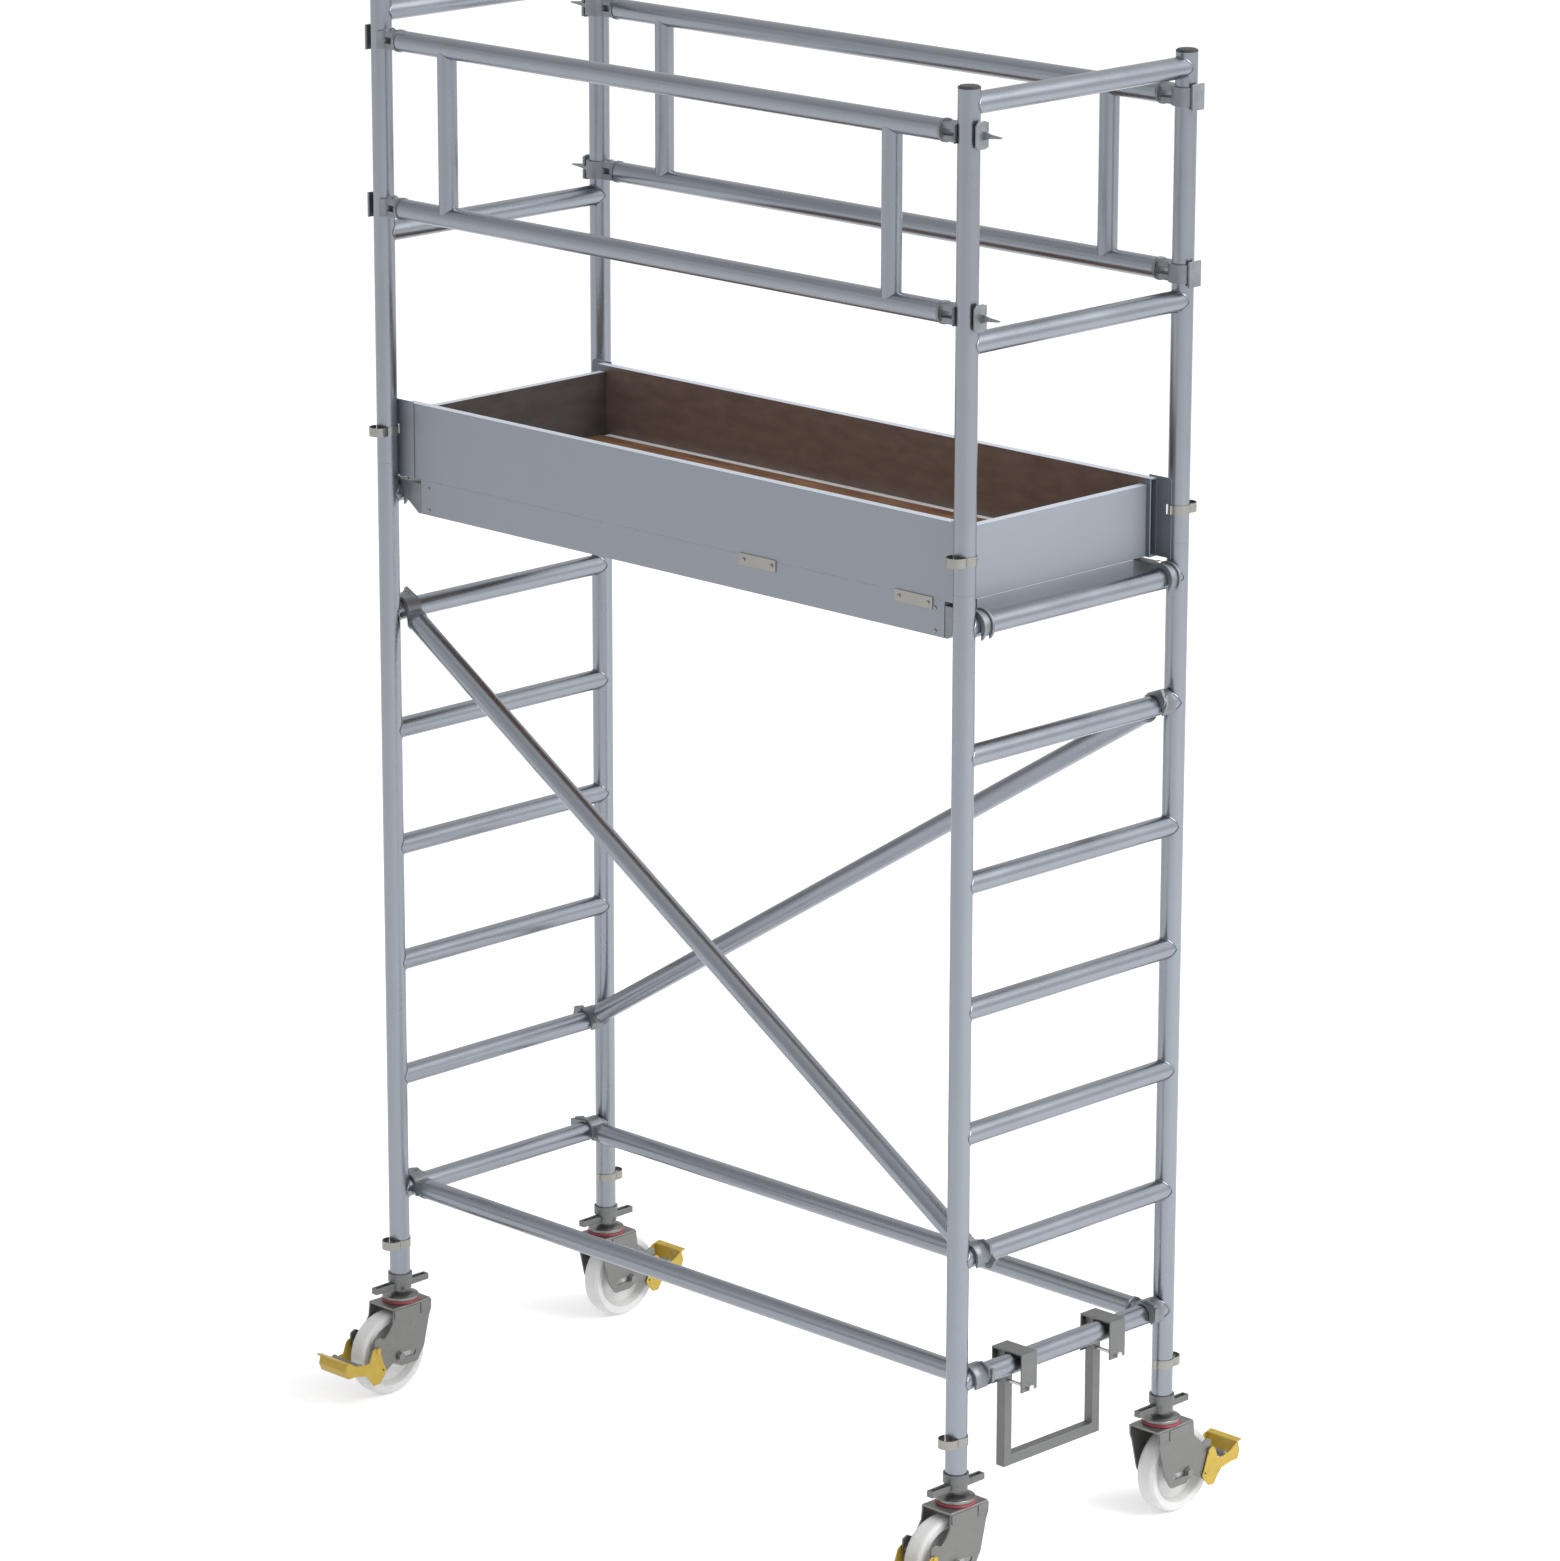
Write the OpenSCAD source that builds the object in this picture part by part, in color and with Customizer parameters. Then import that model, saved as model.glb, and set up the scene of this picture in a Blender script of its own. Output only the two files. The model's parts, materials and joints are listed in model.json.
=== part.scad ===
// Baker scaffold: a narrow rolling tower with two ladder frames, a guarded
// working deck with a hatch, four height-adjustable braked casters and a
// hang-on access step. Millimetres, +Z up, floor at z = 0, centre at x = y = 0.
// +X is the end with the access step, -Y is the front.

/* [Tower] */
// Distance between the upright axes along the long side
frame_span = 1797; // [1200:1:2600]
// Distance between the upright axes across the ladder frames
frame_depth = 674; // [500:1:1200]
// Outside diameter of the uprights
post_d = 48; // [40:0.5:60]
// Outside diameter of rungs, rails and braces
rung_d = 47; // [30:0.5:47]
// Wall thickness of every tube
tube_wall = 2; // [1.5:0.1:4]
// Height of the lower end of the uprights
tube_bottom = 284; // [270:1:320]
// Number of rungs in each ladder frame
rung_count = 7; // [5:1:9]
// Distance between two rungs
rung_pitch = 280; // [230:1:320]
// Height of the first rung
first_rung_z = 494; // [440:1:560]
// Height of the joint between ladder frame and guard frame above the top rung
joint_above_rung = 74; // [60:1:110]

/* [Guard frame and rails] */
// Height of the guard frame, without its caps
guard_h = 1064; // [900:1:1300]
// Height of the lower guard rung above the frame joint
guard_rung_low = 530; // [400:1:600]
// Height of the upper guard rung above the frame joint
guard_rung_high = 1031; // [900:1:1260]
// Height of the lower guardrail above the frame joint
rail_low = 590; // [480:1:680]
// Height of the upper guardrail above the frame joint
rail_high = 970; // [840:1:1160]
// Distance of the stiffening tubes from the middle of the guardrail
rail_strut_x = 682; // [300:1:760]
// Outside diameter of the stiffening tubes
strut_d = 44; // [25:0.5:45]
// Distance from an upright axis to the end of the guardrail tubes
rail_end_gap = 67; // [60:1:90]

/* [Braces] */
// Distance of braces and base tubes from the upright axes
brace_inset = 50; // [44:1:90]
// Rung that carries the upper end of a brace
brace_top_rung = 6; // [3:1:8]
// Rung that carries the lower end of a brace
brace_low_rung = 2; // [2:1:4]
// Width of a brace claw along its rung
brace_claw_w = 40; // [24:1:44]

/* [Platform] */
// Gap between the outside of the platform and the uprights
platform_gap = 2.5; // [1:0.5:12]
// Underside of the platform rails below the frame joint
rail_bottom_drop = 114; // [104:1:124]
// Height of the outer part of a platform rail
rail_h = 79.5; // [76:0.5:90]
// Thickness of a platform rail
rail_t = 42.5; // [36:0.5:60]
// Thickness of the deck and of the hatch
deck_t = 12; // [9:0.5:21]
// Half length of the deck
deck_x = 829; // [600:1:835]
// Left edge of the hatch
hatch_x = 131; // [60:1:320]
// Thickness of a toe board
board_t = 22; // [15:0.5:30]
// Height of the side toe boards
side_board_h = 174; // [150:1:220]
// Height of the end toe boards
end_board_h = 159; // [145:1:215]

/* [Casters] */
// Diameter of a wheel
wheel_d = 200; // [150:1:200]
// Width of a wheel tread
wheel_w = 48; // [35:1:52]
// Distance from the swivel axis to the wheel axle
trail = 44; // [30:1:48]
// Outside diameter of the spindle thread
spindle_d = 36; // [30:0.5:38]
// Pitch of the spindle thread
thread_pitch = 8; // [5:0.5:12]
// Length of the spindle that stands inside the upright
spindle_inside = 330; // [260:1:400]
// Distance between the outside faces of the fork
fork_w = 88; // [84:1:100]
// Sheet thickness of the fork
fork_t = 4; // [3:0.5:6]
// Overall span of the wing nut
wing_span = 165; // [120:1:190]

/* [Access step] */
// Distance of the step hooks from the middle of the rung
step_hook_y = 144; // [90:1:190]
// Width of a step hook
step_hook_w = 50; // [36:1:60]
// Side of the square tube of the step
step_tube = 25; // [20:0.5:26]
// Height of the underside of the step
step_bottom = 241; // [180:1:330]

/* [Hidden] */
$fn = 64;

seat = 0.3;
post_x = frame_span / 2;
post_y = frame_depth / 2;
post_r = post_d / 2;
rung_r = rung_d / 2;
brace_y = post_y - brace_inset;
top_rung_z = first_rung_z + (rung_count - 1) * rung_pitch;
joint_z = top_rung_z + joint_above_rung;
guard_top = joint_z + guard_h;
lower_clip_z = tube_bottom + 80;
upper_clip_z = joint_z + 74;
clip_hole_r = 4.2;
clip_pin_r = 4;
claw_wall = 7.5;

// Platform levels
rail_bottom_z = joint_z - rail_bottom_drop;
platform_y = post_y - post_r - platform_gap;
board_foot_z = rail_bottom_z + rail_h;
deck_top_z = board_foot_z + 13;
deck_low_z = deck_top_z - deck_t;
deck_y = platform_y - rail_t;
board_in_y = platform_y - board_t;
end_board_x = deck_x + 1;
bracket_t = 2;
side_board_x = end_board_x + 30;
hinge_y = -deck_y - 1;
hinge_r = 4;
hinge_z = deck_top_z + hinge_r + 1;
hinge_w = 110;
hinge_xs = [hatch_x + 134, deck_x - 100];

// Caster levels, from the floor
wheel_r = wheel_d / 2;
axle_z = wheel_r;
fork_top = wheel_r + 121;
seal_top = fork_top + 7;
disc_top = seal_top + 12;
nut_low = tube_bottom - 32;
cup_top = tube_bottom + 5;
spindle_r = spindle_d / 2;
axle_r = 6;
pedal_pivot = [115, wheel_r + 32];
pedal_link = [100, wheel_r - 19];
king_r = 12;
pedal_in = fork_w / 2 + 1.2;
pedal_t = 3;

function rung_z(k) = first_rung_z + (k - 1) * rung_pitch;

aluminium = [0.66, 0.69, 0.73];
zinc = [0.55, 0.56, 0.55];
steel = [0.62, 0.62, 0.60];
white_pa = [0.93, 0.93, 0.92];
yellow = [0.80, 0.66, 0.15];
red = [0.62, 0.16, 0.18];
ply = [0.55, 0.36, 0.24];
black = [0.12, 0.12, 0.13];

// ---------- shared shapes ----------

module pipe(d, h) difference() {
  cylinder(d = d, h = h);
  translate([0, 0, -1]) cylinder(d = d - 2 * tube_wall, h = h + 2);
}

// Tube along Y, centred, its ends shaped to sit against the two uprights
module rung() difference() {
  rotate([90, 0, 0]) translate([0, 0, -post_y]) pipe(rung_d, 2 * post_y);
  for (s = [-1, 1])
    translate([0, s * post_y, -post_d]) cylinder(r = post_r + seat, h = 2 * post_d);
}

// Upright with the pin hole of its spring clip facing outward
module upright(sx, sy, z0, z1, clip_z) translate([sx * post_x, sy * post_y, z0]) difference() {
  pipe(post_d, z1 - z0);
  translate([0, 0, clip_z - z0]) rotate([-90 * sy, 0, 0]) cylinder(r = clip_hole_r, h = post_d);
}

// Plate across X from its outline in Y and Z
module plate_yz(points, x0, t) translate([x0, 0, 0]) rotate([90, 0, 90])
  linear_extrude(height = t) polygon(points);

module at_corner(sx, sy) translate([sx * post_x, sy * post_y, 0])
  rotate([0, 0, sy > 0 ? 0 : 180]) children();

module both_turned() for (a = [0, 180]) rotate([0, 0, a]) children();

// ---------- casters (swivel axis at x = y = 0, pedal towards +Y) ----------

module spindle() {
  top = tube_bottom + spindle_inside;
  turns = floor((top - disc_top - 24) / thread_pitch);
  root = spindle_r - 2.2;
  // kingpin with its head below the fork
  translate([0, 0, fork_top - 11]) cylinder(r = king_r, h = seal_top - fork_top + 13);
  translate([0, 0, fork_top - 11.5]) cylinder(r = 20, h = 5);
  translate([0, 0, seal_top + seat]) cylinder(r = 48, h = disc_top - seal_top - 4);
  translate([0, 0, disc_top - 4]) cylinder(r1 = 44, r2 = 30, h = 4);
  rotate_extrude() polygon(concat(
    [[0, disc_top - 1], [root, disc_top - 1]],
    [for (i = [0 : turns - 1]) for (j = [0 : 3]) let (z = disc_top + 6 + i * thread_pitch)
      [j == 0 || j == 3 ? root : spindle_r, z + thread_pitch * [0, 0.3, 0.5, 0.8][j]]],
    [[root, top], [0, top]]));
}

module wing_nut() difference() {
  union() {
    translate([0, 0, nut_low]) cylinder(r = 26, h = 18);
    translate([0, 0, nut_low + 16]) cylinder(r = post_r + 4.5, h = cup_top - nut_low - 16);
    for (a = [0, 180]) rotate([0, 0, a]) difference() {
      translate([-9, 20, nut_low]) cube([18, wing_span / 2 - 20, 15]);
      translate([-5.5, 34, nut_low + 5]) cube([11, wing_span / 2 - 40, 12]);
    }
  }
  translate([0, 0, nut_low - 1]) cylinder(r = spindle_r + 0.08, h = 60);
  translate([0, 0, tube_bottom - seat]) cylinder(r = post_r + seat, h = 20);
}

module seal_ring() translate([0, 0, fork_top + seat]) difference() {
  cylinder(r = 52, h = seal_top - fork_top - seat);
  translate([0, 0, -1]) cylinder(r = 40, h = 20);
}

module fork() {
  low = axle_z - 24;
  side = [[-58, fork_top - 5], [-58, fork_top - 25], [-51, fork_top - 42], [-34, axle_z + 8],
    [-14, low + 1], [-8, low - 2], [38, low - 2], [64, low + 12], [96, axle_z - 32],
    [110, axle_z - 26], [114, axle_z - 6], [124, axle_z + 32], [122, axle_z + 56],
    [108, axle_z + 62], [92, axle_z + 54], [78, axle_z + 64], [64, axle_z + 84], [60, fork_top - 5]];
  difference() {
    union() {
      translate([-fork_w / 2, -58, fork_top - 6]) cube([fork_w, 118, 6]);
      for (s = [-1, 1]) plate_yz(side, s > 0 ? fork_w / 2 - fork_t : -fork_w / 2, fork_t);
    }
    // load-centring slot of the axle
    for (y = [0, trail]) translate([-60, y, axle_z]) rotate([0, 90, 0]) cylinder(r = axle_r + 1, h = 120);
    translate([-60, 0, axle_z - axle_r - 1]) cube([120, trail, 2 * axle_r + 2]);
    translate([-60, pedal_pivot[0], pedal_pivot[1]]) rotate([0, 90, 0]) cylinder(r = 4.06, h = 120);
    translate([-60, pedal_link[0], pedal_link[1]]) rotate([0, 90, 0]) cylinder(r = 3, h = 120);
    // relief slit at the bend
    for (s = [-1, 1]) translate([s * fork_w / 2 - 8, -22, fork_top - 30]) cube([16, 2.5, 24]);
    translate([0, 0, fork_top - 10]) cylinder(r = king_r + 0.06, h = 20);
  }
}

module axle() translate([0, trail, axle_z]) rotate([0, 90, 0]) {
  translate([0, 0, -fork_w / 2 - 8]) cylinder(r = axle_r, h = fork_w + 16);
  for (s = [0, 1]) mirror([0, 0, s]) {
    translate([0, 0, fork_w / 2 + seat]) cylinder(r = 12, h = 2);
    translate([0, 0, fork_w / 2 + 2]) cylinder(r = 10, h = 7, $fn = 6);
  }
}

module wheel() translate([0, trail, axle_z]) rotate([0, 90, 0]) {
  w = wheel_w / 2;
  rotate_extrude()
    polygon([[axle_r + 0.08, -36], [26, -36], [30, -32], [30, -8], [wheel_r - 30, -6],
      [wheel_r - 22, -w + 2], [wheel_r - 18, -w], [wheel_r - 6, -w], [wheel_r - 1, -w + 7],
      [wheel_r, -w + 13], [wheel_r, w - 13], [wheel_r - 1, w - 7], [wheel_r - 6, w],
      [wheel_r - 18, w], [wheel_r - 22, w - 2], [wheel_r - 30, 6], [30, 8], [30, 32],
      [26, 36], [axle_r + 0.08, 36]]);
}

module pedal() {
  z = axle_z;
  cheek = [[96, z - 10], [90, z - 22], [98, z - 36], [112, z - 51], [130, z - 52], [142, z - 34],
    [156, z - 20], [190, z - 14], [210, z - 14], [217, z + 4], [212, z + 24], [206, z + 25],
    [186, z + 12], [160, z + 6], [142, z + 8], [132, z + 34], [124, z + 40], [112, z + 36],
    [106, z + 20]];
  difference() {
    union() {
      for (s = [-1, 1]) plate_yz(cheek, s > 0 ? pedal_in : -pedal_in - pedal_t, pedal_t);
      plate_yz([[207, z - 14], [210, z - 14], [217, z + 4], [212, z + 24], [226, z + 28], [225, z + 31],
        [209, z + 27], [213.5, z + 4]], -pedal_in - 0.5, 2 * pedal_in + 1);
      translate([-pedal_in - 1, 174, z + 4]) rotate([0, 90, 0]) cylinder(r = 7, h = 2 * pedal_in + 2);
    }
    translate([-60, pedal_link[0], pedal_link[1]]) rotate([0, 90, 0]) cylinder(r = 3, h = 120);
  }
  for (s = [0, 1]) mirror([s, 0, 0]) translate([0, pedal_pivot[0], pedal_pivot[1]])
    rotate([0, 90, 0]) {
      translate([0, 0, pedal_in - 6]) cylinder(r = 4, h = 10);
      translate([0, 0, pedal_in + pedal_t - 0.5]) cylinder(r = 7, h = 3);
    }
}

// ---------- frames ----------

module ladder_frame(sx) {
  for (sy = [-1, 1]) upright(sx, sy, tube_bottom, joint_z - seat, lower_clip_z);
  for (k = [1 : rung_count]) translate([sx * post_x, 0, rung_z(k)]) rung();
}

module guard_frame(sx) {
  for (sy = [-1, 1]) upright(sx, sy, joint_z, guard_top, upper_clip_z);
  for (h = [guard_rung_low, guard_rung_high]) translate([sx * post_x, 0, joint_z + h]) rung();
}

module spigot() translate([0, 0, joint_z - 95]) difference() {
  cylinder(r = post_r - tube_wall - seat, h = 190);
  translate([0, 0, -1]) cylinder(r = post_r - tube_wall - seat - 2.5, h = 192);
}

module post_cap() translate([0, 0, guard_top]) {
  translate([0, 0, -14]) cylinder(r = post_r - tube_wall - seat, h = 16);
  translate([0, 0, seat]) cylinder(r = post_r, h = 3);
  translate([0, 0, 3]) cylinder(r1 = post_r, r2 = post_r - 4, h = 3);
}

// Flat spring band round an upright, finger loop and pin towards +Y, open on one side
module spring_clip(open_side) {
  band = 1.8;
  h = 20;
  r = post_r + seat;
  translate([0, 0, -h / 2]) difference() {
    union() {
      cylinder(r = r + band, h = h);
      translate([0, post_r + 3, 0]) cylinder(r = 15, h = h);
    }
    translate([0, 0, -1]) cylinder(r = r, h = h + 2);
    translate([0, post_r + 3, -1]) cylinder(r = 15 - band, h = h + 2);
    translate([open_side > 0 ? 12 : -62, -9, -1]) cube([50, 20, h + 2]);
  }
  rotate([-90, 0, 0]) translate([0, 0, post_r - tube_wall - 0.1]) cylinder(r = clip_pin_r, h = 19);
}

// ---------- guardrails ----------

module guardrail() translate([0, -post_y, 0]) {
  len = 2 * (post_x - rail_end_gap);
  for (h = [rail_low, rail_high]) translate([-len / 2, 0, joint_z + h]) rotate([0, 90, 0]) pipe(rung_d, len);
  for (s = [-1, 1]) translate([s * rail_strut_x, 0, joint_z + rail_low]) difference() {
    pipe(strut_d, rail_high - rail_low);
    for (h = [0, rail_high - rail_low])
      translate([-60, 0, h]) rotate([0, 90, 0]) cylinder(r = rung_r + seat, h = 120);
  }
}

// Claw round an upright: rail towards +X, inboard side +Y, mouth towards -Y
module post_claw(latched) {
  ring_r = post_r + claw_wall;
  difference() {
    union() {
      translate([0, 0, -20]) cylinder(r = ring_r, h = 40);
      translate([20, -17, -20]) cube([rail_end_gap - 24, 34, 13]);
      translate([20, -17, 7]) cube([rail_end_gap - 24, 34, 13]);
      if (latched) translate([-ring_r - 3, 12, -5]) cube([12, 8, 10]);
    }
    translate([0, 0, -40]) cylinder(r = post_r + seat, h = 80);
    translate([-50, -40, -40]) cube([64, 40, 80]);
  }
  if (!latched) translate([-ring_r - 4.5, -18, -28]) cube([6, 37, 56]);
  translate([rail_end_gap - 7, 0, 0]) rotate([0, 90, 0]) cylinder(r = rung_r + 2, h = 7 - seat);
  translate([rail_end_gap - 2, 0, 0]) rotate([0, 90, 0]) cylinder(r = rung_r - tube_wall - seat, h = 30);
  if (latched) translate([-ring_r - 3, 16, -26]) cylinder(r = 2.5, h = 52);
}

// Swinging latch that closes the mouth of a claw
module latch() {
  x = -post_r - claw_wall - 3;
  difference() {
    union() {
      translate([x - 3.5, 0, 0]) rotate([90, 0, 90]) linear_extrude(height = 4.5)
        polygon([[-18, -22], [-11, -29], [10, -29], [17, -22], [17, 22], [10, 29], [-11, 29], [-18, 22]]);
      translate([x, 16, -26]) cylinder(r = 4.5, h = 52);
      translate([0, 7, 0]) rotate([90, 0, 0]) linear_extrude(height = 6)
        polygon([[x - 3, -10], [x - 3, 10], [x - 22, 4.5], [x - 53, 1.5], [x - 53, -1.5], [x - 22, -4.5]]);
    }
    translate([x, 16, -40]) cylinder(r = 2.55, h = 80);
    translate([x - 10, 9, -5.5]) cube([24, 20, 11]);
  }
}

module latch_at(turned, h) rotate([0, 0, turned]) translate([post_x, -post_y, joint_z + h])
  mirror([1, 0, 0]) latch();

// ---------- braces ----------

// Claw hooked over a rung that runs along Y, tube leaving towards +X at an angle
module rung_claw(tilt) {
  ring_r = rung_r + claw_wall;
  w = brace_claw_w;
  difference() {
    union() {
      translate([0, w / 2, 0]) rotate([90, 0, 0]) cylinder(r = ring_r, h = w);
      rotate([0, tilt, 0]) {
        translate([24, -w / 2 + 1.5, -17]) cube([20, w - 3, 34]);
        translate([40, 0, 0]) rotate([0, 90, 0]) cylinder(r = rung_r + 1.5, h = 8);
        translate([44, 0, 0]) rotate([0, 90, 0]) cylinder(r = rung_r - tube_wall - seat, h = 32);
      }
      // thumb rib on the outer flank
      translate([0, w / 2, 0]) rotate([90, 0, 0]) linear_extrude(height = 7)
        polygon([[6, ring_r - 2], [-10, ring_r + 5], [-34, ring_r - 2], [-38, 8], [-ring_r + 1, -12]]);
    }
    translate([0, 60, 0]) rotate([90, 0, 0]) cylinder(r = rung_r + seat, h = 120);
    // mouth, a little narrower than the bore
    translate([-rung_r - 0.1, -60, -60]) cube([2 * rung_r + 0.2, 120, 60]);
  }
}

brace_dz = (brace_top_rung - brace_low_rung) * rung_pitch;
brace_tilt = atan2(brace_dz, frame_span);
brace_len = sqrt(frame_span * frame_span + brace_dz * brace_dz) - 96.6;

module base_tube() translate([-post_x + 48.3, -brace_y, first_rung_z]) rotate([0, 90, 0])
  pipe(rung_d, frame_span - 96.6);

module diagonal() translate([-post_x, -brace_y, rung_z(brace_top_rung)]) rotate([0, 90 + brace_tilt, 0])
  translate([0, 0, 48.3]) pipe(rung_d, brace_len);

module front_brace_claws() {
  translate([-post_x, -brace_y, first_rung_z]) rung_claw(0);
  translate([post_x, -brace_y, first_rung_z]) mirror([1, 0, 0]) rung_claw(0);
  translate([-post_x, -brace_y, rung_z(brace_top_rung)]) rung_claw(brace_tilt);
  translate([post_x, -brace_y, rung_z(brace_low_rung)]) mirror([1, 0, 0]) rung_claw(-brace_tilt);
}

// ---------- platform ----------

module side_rail() translate([-deck_x + 12, 0, 0]) rotate([90, 0, 90])
  linear_extrude(height = 2 * deck_x - 24) difference() {
    polygon([[-platform_y, rail_bottom_z], [-platform_y + 27, rail_bottom_z],
      [-platform_y + 27, deck_low_z - 9], [-deck_y + 20, deck_low_z - 9], [-deck_y + 20, deck_low_z - seat],
      [-deck_y - seat, deck_low_z - seat], [-deck_y - seat, deck_top_z], [-board_in_y + 0.5, deck_top_z],
      [-board_in_y + 0.5, board_foot_z], [-platform_y, board_foot_z]]);
    translate([-platform_y + 2.5, rail_bottom_z + 2.5]) square([22, rail_h - 12]);
  }

module cross_rail(x0, w) translate([x0, -deck_y + 21, rail_bottom_z + 22])
  difference() {
    cube([w, 2 * deck_y - 42, deck_low_z - seat - rail_bottom_z - 22]);
    translate([2.5, -1, 2.5]) cube([w - 5, 2 * deck_y, deck_low_z - rail_bottom_z - 28]);
  }

// End casting of a side rail hooked over the top rung, rung axis along Y
module platform_claw() {
  ring_r = rung_r + 7.5;
  depth = 30;
  low = rail_bottom_z - top_rung_z;
  x_in = post_x - deck_x + 11;
  translate([0, platform_y, 0]) rotate([90, 0, 0]) linear_extrude(height = depth) difference() {
    union() {
      circle(r = ring_r);
      polygon([[0, ring_r], [-x_in + seat, ring_r], [-x_in + seat, low], [-x_in + 8, low],
        [-rung_r - 22, low + 20], [-rung_r - 4, -8], [0, -8]]);
    }
    circle(r = rung_r + seat);
    translate([-rung_r - seat, -60]) square([2 * (rung_r + seat), 60]);
  }
}

// Plate on the outside of a side board that closes its corner up to the upright
module bracket() {
  x0 = end_board_x + 6;
  x1 = post_x + 2.5;
  z1 = board_foot_z + side_board_h + 4;
  difference() {
    translate([0, platform_y + seat + bracket_t, 0]) rotate([90, 0, 0]) linear_extrude(height = bracket_t)
      polygon([[x0, board_foot_z + 1], [x1, board_foot_z + 1], [x1, z1 - 9], [x1 - 3, z1 - 3],
        [x1 - 9, z1], [x0, z1]]);
    // clear the spring clip
    translate([post_x - 13, platform_y, upper_clip_z - 11]) cube([20, 4, 22]);
  }
}

module side_toe_board() difference() {
  translate([-side_board_x, board_in_y, board_foot_z + seat]) cube([2 * side_board_x, board_t, side_board_h]);
  translate([-side_board_x - 1, board_in_y + 2.5, board_foot_z + 3])
    cube([2 * side_board_x + 2, board_t - 5, side_board_h - 6]);
}

module end_toe_board() difference() {
  y = board_in_y - seat;
  translate([end_board_x, -y, deck_low_z]) cube([20, 2 * y, end_board_h]);
  translate([end_board_x + 2.5, -y - 1, deck_low_z + 2.5]) cube([15, 2 * y + 2, end_board_h - 5]);
}

module rivet(r = 4) {
  cylinder(r = r, h = 1.6);
  translate([0, 0, 1.5]) cylinder(r1 = r, r2 = r - 2, h = 1.2);
}

clip_z = board_foot_z - 9;
claw_rivet_x = deck_x - 39;

// ---------- access step (on the first rung of the +X frame) ----------

hook_t = 4;
hook_top = first_rung_z + rung_r + seat;
leg_x = post_x - rung_r - 1 - step_tube;

module step_hook() translate([0, -step_hook_w / 2, 0]) {
  translate([leg_x - hook_t, 0, hook_top]) cube([post_x + 36 - leg_x + hook_t, step_hook_w, hook_t]);
  difference() {
    translate([post_x + 32, 0, hook_top - 84]) cube([hook_t, step_hook_w, 86]);
    translate([post_x + 20, step_hook_w / 2, hook_top - 76]) rotate([0, 90, 0]) cylinder(r = 5, h = 30);
  }
  difference() {
    translate([leg_x - hook_t, 0, hook_top - 84]) cube([hook_t - seat, step_hook_w, 86]);
    translate([leg_x - 10, step_hook_w / 2, hook_top - 76]) rotate([0, 90, 0]) cylinder(r = 5, h = 30);
  }
}

module step_bolt() translate([leg_x, 0, hook_top - 76]) rotate([0, 90, 0]) {
  translate([0, 0, -hook_t - 4]) cylinder(r = 4, h = post_x + 46 - leg_x + 4);
  translate([0, 0, -hook_t - 7]) cylinder(r = 8, h = 7 - seat, $fn = 6);
  translate([0, 0, post_x + 36 + seat - leg_x]) cylinder(r = 8, h = 7, $fn = 6);
}

module step_u() difference() {
  s = step_tube;
  union() {
    for (y = [-step_hook_y, step_hook_y])
      translate([leg_x, y - s / 2, step_bottom]) cube([s, s, hook_top - seat - step_bottom]);
    translate([leg_x, -step_hook_y, step_bottom]) cube([s, 2 * step_hook_y, s]);
  }
  for (y = [-step_hook_y, step_hook_y])
    translate([leg_x - 10, y, hook_top - 76]) rotate([0, 90, 0]) cylinder(r = 4.1, h = 60);
}

// ---------- nodes ----------

module spindle_front_left() color(zinc) at_corner(-1, -1) spindle();
module spindle_front_right() color(zinc) at_corner(1, -1) spindle();
module spindle_rear_right() color(zinc) at_corner(1, 1) spindle();
module spindle_rear_left() color(zinc) at_corner(-1, 1) spindle();
module wing_nut_front_left() color(zinc) at_corner(-1, -1) wing_nut();
module wing_nut_front_right() color(zinc) at_corner(1, -1) wing_nut();
module wing_nut_rear_right() color(zinc) at_corner(1, 1) wing_nut();
module wing_nut_rear_left() color(zinc) at_corner(-1, 1) wing_nut();
module seal_ring_front_left() color(red) at_corner(-1, -1) seal_ring();
module seal_ring_front_right() color(red) at_corner(1, -1) seal_ring();
module seal_ring_rear_right() color(red) at_corner(1, 1) seal_ring();
module seal_ring_rear_left() color(red) at_corner(-1, 1) seal_ring();
module fork_front_left() color(steel) at_corner(-1, -1) fork();
module fork_front_right() color(steel) at_corner(1, -1) fork();
module fork_rear_right() color(steel) at_corner(1, 1) fork();
module fork_rear_left() color(steel) at_corner(-1, 1) fork();
module axle_front_left() color(zinc) at_corner(-1, -1) axle();
module axle_front_right() color(zinc) at_corner(1, -1) axle();
module axle_rear_right() color(zinc) at_corner(1, 1) axle();
module axle_rear_left() color(zinc) at_corner(-1, 1) axle();
module wheel_front_left() color(white_pa) at_corner(-1, -1) wheel();
module wheel_front_right() color(white_pa) at_corner(1, -1) wheel();
module wheel_rear_right() color(white_pa) at_corner(1, 1) wheel();
module wheel_rear_left() color(white_pa) at_corner(-1, 1) wheel();
module pedal_front_left() color(yellow) at_corner(-1, -1) pedal();
module pedal_front_right() color(yellow) at_corner(1, -1) pedal();
module pedal_rear_right() color(yellow) at_corner(1, 1) pedal();
module pedal_rear_left() color(yellow) at_corner(-1, 1) pedal();

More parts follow.
